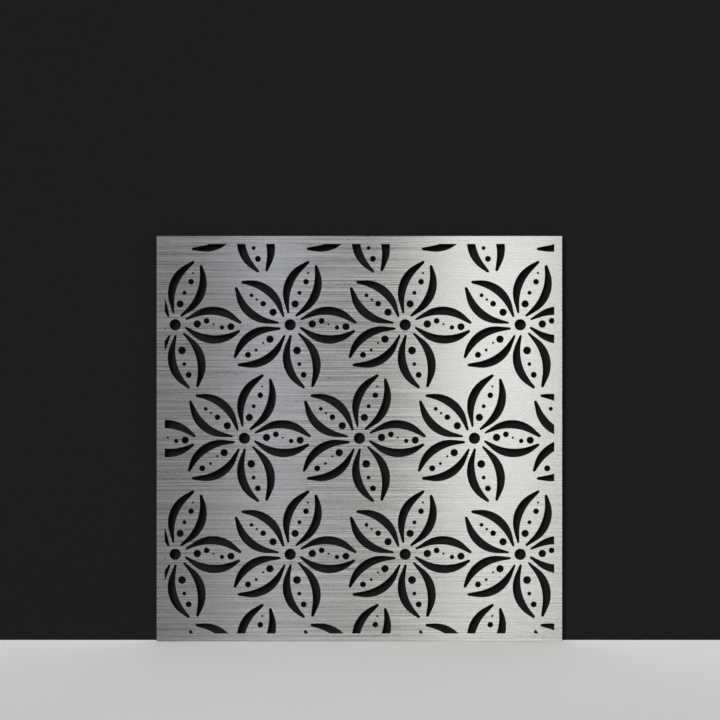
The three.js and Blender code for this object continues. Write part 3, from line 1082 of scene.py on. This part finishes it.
def add_floor():
    half = FLOOR_HALF
    corners = [(-half, -half, 0), (half, -half, 0), (half, half, 0), (-half, half, 0)]
    material = matt("floor", FLOOR_COLOUR)
    tree = material.node_tree
    colour = tinted(tree, seen_or_reflected(tree), FLOOR_BOUNCE, FLOOR_COLOUR)
    tree.links.new(colour, tree.nodes["Principled BSDF"].inputs["Base Color"])
    add_card("floor", corners, material)


def one_sided_dark():
    """A dark surface that is clear from behind, and to what metal reflects to the camera."""
    material = matt("wall", WALL_COLOUR)
    tree = material.node_tree
    surface = add_node(tree, "ShaderNodeNewGeometry")
    rays = add_node(tree, "ShaderNodeLightPath")
    not_scattered = calculated(tree, "LESS_THAN", rays.outputs["Diffuse Depth"], 1)
    reflected = calculated(tree, "MULTIPLY", rays.outputs["Is Glossy Ray"], not_scattered)
    hidden = calculated(tree, "MAXIMUM", surface.outputs["Backfacing"], reflected)
    dark = tree.nodes["Principled BSDF"]
    clear = add_node(tree, "ShaderNodeBsdfTransparent")
    inputs = {0: hidden, 1: dark.outputs[0], 2: clear.outputs[0]}
    mix = add_node(tree, "ShaderNodeMixShader", inputs)
    tree.links.new(mix.outputs[0], tree.nodes["Material Output"].inputs["Surface"])
    return material


def add_wall():
    """A dark wall right behind the screen, so that every cut-out is dark."""
    y = CAD_BOX[1][1] + WALL_BEHIND
    left, right = -WALL_HALF_WIDTH, WALL_HALF_WIDTH
    corners = [(left, y, 0), (right, y, 0), (right, y, WALL_HEIGHT), (left, y, WALL_HEIGHT)]
    wall = add_card("wall", corners, one_sided_dark())
    hide_from(wall, "diffuse", "shadow")


def graded_glow(name, left_colour, right_colour):
    """A glow that goes from one colour to another across the stretch of the sheet that shows it."""
    material = bpy.data.materials.new(name)
    material.use_nodes = True
    tree = material.node_tree
    surface = add_node(tree, "ShaderNodeNewGeometry")
    spot = add_node(tree, "ShaderNodeSeparateXYZ", {0: surface.outputs["Position"]})
    # The sheet shows a point in front of it at the point's X divided by this spread.
    spread_at_zero = 1 + FACE / CAMERA_DISTANCE
    spread = calculated(tree, "MULTIPLY_ADD", spot.outputs["Y"], -1 / CAMERA_DISTANCE, spread_at_zero)
    across = calculated(tree, "DIVIDE", spot.outputs["X"], spread)
    share = ranged(tree, across, GRADE_LEFT, GRADE_RIGHT, interpolation_type="SMOOTHSTEP")
    glow = add_node(tree, "ShaderNodeEmission", {0: tinted(tree, share, left_colour, right_colour)})
    tree.links.new(glow.outputs[0], tree.nodes["Material Output"].inputs["Surface"])
    return material


def add_flags():
    """Grey cards on the floor and upright in front, which only the metal's reflections show."""
    # Each end of a flag is a distance in front of the sheet and a height.
    at_sheet = (0, FLAG_LIFT)
    foot = (FLAG_DISTANCE, FLAG_LIFT)
    head = (FLAG_DISTANCE, FLAG_HEIGHT)
    for name, colours, start, end in (
        ("floor_flag", FLOOR_FLAG_COLOURS, at_sheet, foot),
        ("upright_flag", UPRIGHT_FLAG_COLOURS, foot, head),
    ):
        corners = []
        for side, (distance, z) in ((-1, start), (1, start), (1, end), (-1, end)):
            reach = FLAG_REACH * (1 + distance / CAMERA_DISTANCE)
            corners.append((side * reach, FACE - distance, z))
        card = add_card(name, corners, graded_glow(name, *colours))
        hide_from(card, "camera", "diffuse", "transmission", "shadow")


def facing(direction):
    return Vector(direction).to_track_quat("-Z", "Y").to_euler()


def add_softbox(name, place, aim, size, radiance, colour=(1, 1, 1)):
    data = bpy.data.lights.new(name, "AREA")
    data.shape = "RECTANGLE"
    data.size, data.size_y = size
    data.energy = radiance * math.pi * size[0] * size[1]
    data.color = colour
    light = add_object(name, data)
    light.location = place
    light.rotation_euler = facing(Vector(aim) - Vector(place))
    hide_from(light, "camera")
    return light


def add_lights():
    for name, strip in (("strip_right", STRIP_RIGHT), ("strip_left", STRIP_LEFT)):
        hide_from(add_softbox(name, **strip), "diffuse")
    add_softbox("overhead", **OVERHEAD)
    add_softbox("rear", **REAR)
    sun = bpy.data.lights.new("key", "SUN")
    sun.energy = KEY_STRENGTH
    sun.angle = KEY_ANGLE
    key = add_object("key", sun)
    key.rotation_euler = facing(KEY_DIRECTION)
    hide_from(key, "glossy")


def add_world():
    """A pale room to the eye and in reflections, which gives a softer light than it shows."""
    world = bpy.data.worlds.new("studio")
    world.use_nodes = True
    tree = world.node_tree
    level = ranged(tree, seen_or_reflected(tree), 0, 1, AMBIENT_LEVEL, BACKDROP_LEVEL)
    background = tree.nodes["Background"]
    tree.links.new(level, background.inputs["Strength"])
    background.inputs["Color"].default_value = (*ROOM_COLOUR, 1)
    bpy.context.scene.world = world


bpy.context.scene.view_settings.view_transform = "Standard"
add_sheet()
add_frame()
add_corner_welds()
add_fasteners()
add_floor()
add_wall()
add_flags()
add_lights()
add_world()
